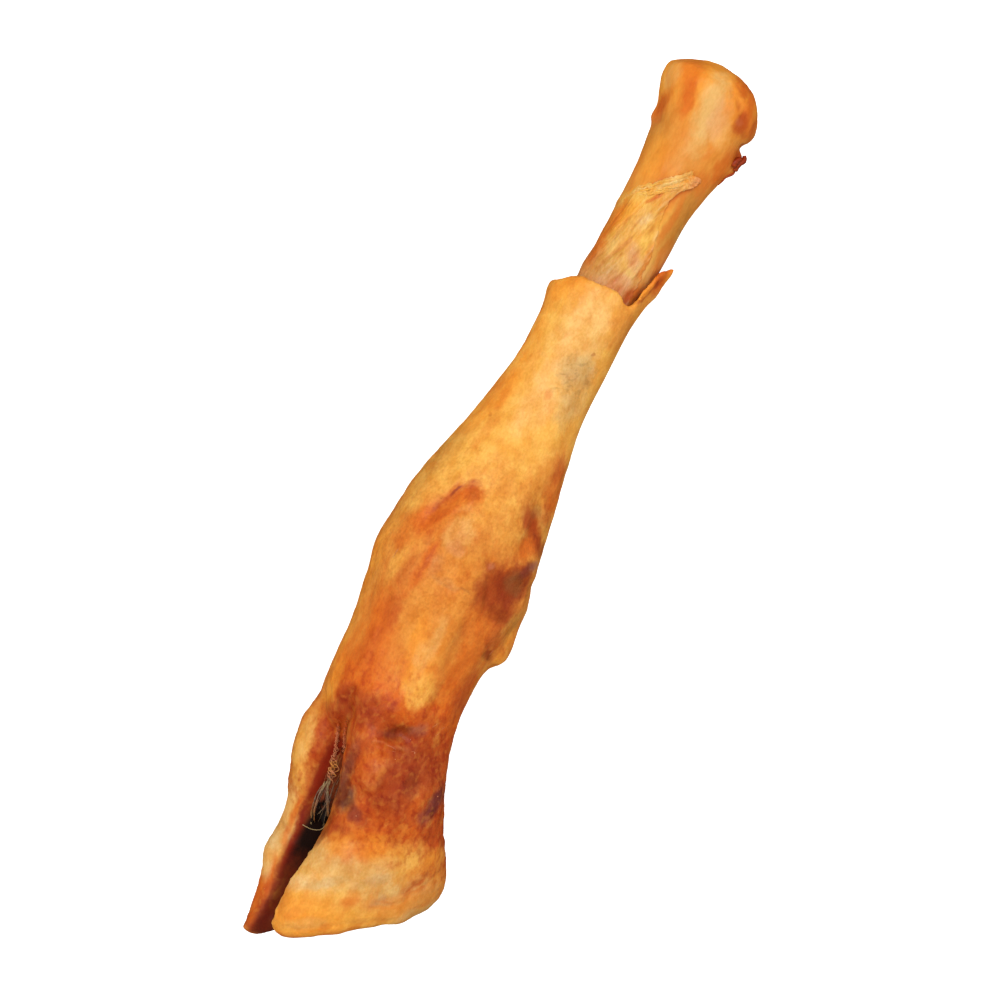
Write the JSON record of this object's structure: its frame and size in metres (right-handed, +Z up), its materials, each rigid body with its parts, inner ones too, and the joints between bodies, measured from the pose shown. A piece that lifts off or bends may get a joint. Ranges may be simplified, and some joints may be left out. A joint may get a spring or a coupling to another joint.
{
  "type": "lamb leg dog chew",
  "caption": "Dried lamb leg chew lying on its side: bare bone end, shrunken skin sleeve, swollen fetlock and a split hoof with wool left in the cleft.",
  "frame": {"origin": "centre of the part's outline on the surface that it lies on", "axes": "+X along the leg from the toes to the head of the bare bone, +Y towards the front of the leg, +Z up, towards its outer side"},
  "size_m": [0.2122, 0.049, 0.0341],
  "materials": {
    "skin": "dried skin and horn, golden orange with red-brown patches, satin with an oily sheen",
    "bone": "dried bone, orange and beige with a thin yellow membrane, satin",
    "wool": "matted brown wool, dull"
  },
  "bodies": {
    "root": {"skin": "skin", "bone": "bone", "cleft_wool": "wool"}
  },
  "joints": []
}
